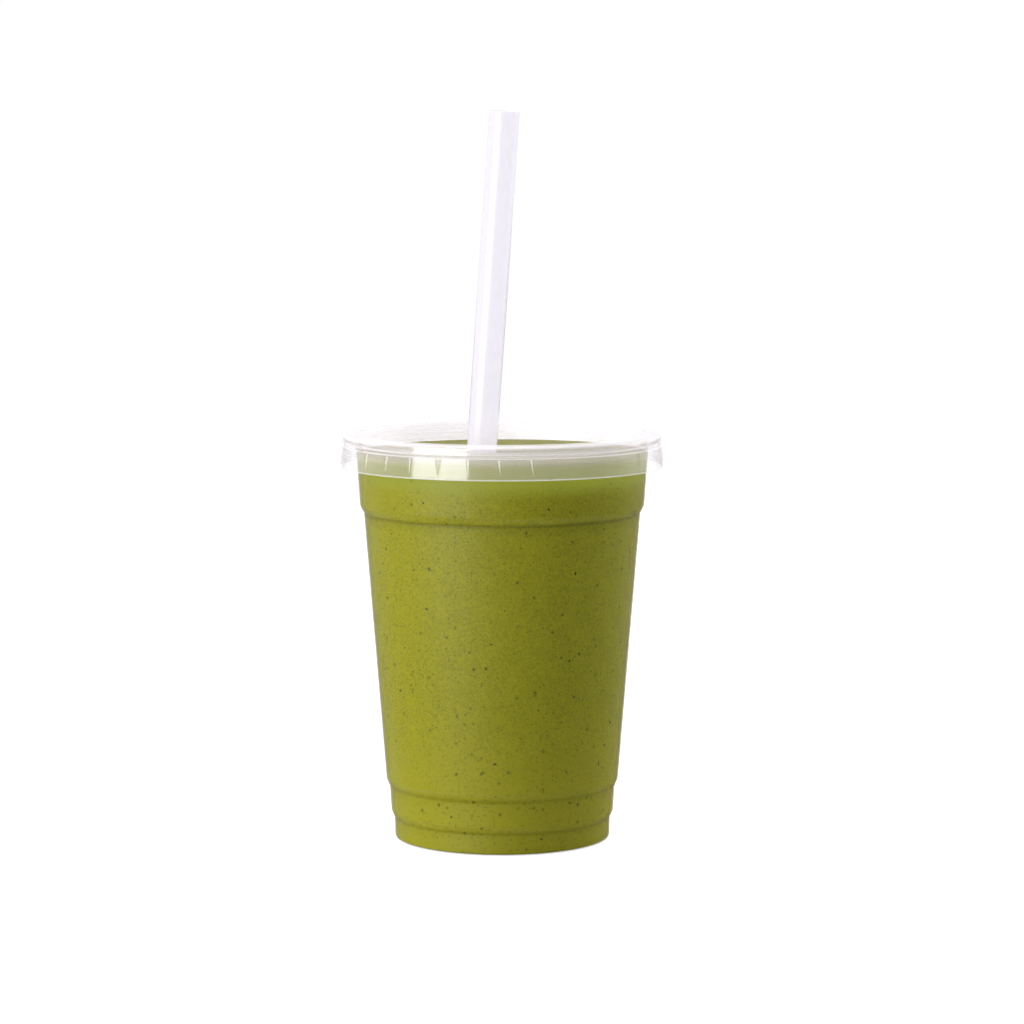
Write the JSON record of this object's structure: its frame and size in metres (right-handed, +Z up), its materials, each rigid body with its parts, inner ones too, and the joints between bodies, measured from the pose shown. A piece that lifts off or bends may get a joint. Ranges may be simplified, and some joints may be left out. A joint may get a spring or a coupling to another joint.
{
  "type": "green smoothie",
  "caption": "Green smoothie in a clear stepped plastic cold cup, with a pressed-on flat lid with a ribbed skirt, and a wide straight straw leaning through it.",
  "frame": {"origin": "centre of the cup's standing ring, on the surface that it stands on", "axes": "+Z up along the cup's axis; the straw leans towards +X as it rises, and a little towards -Y"},
  "size_m": [0.1016, 0.1016, 0.2294],
  "materials": {
    "clear_cup": "clear thin moulded plastic, glossy",
    "smoothie": "thick blended green drink, faintly grainy, with dark flecks; its surface is wet",
    "clear_lid": "clear, faintly milky thin moulded plastic, glossy",
    "straw_plastic": "milky translucent plastic, satin gloss"
  },
  "bodies": {
    "root": {"cup": "clear_cup", "smoothie": "smoothie", "lid": "clear_lid", "straw": "straw_plastic"}
  },
  "joints": []
}
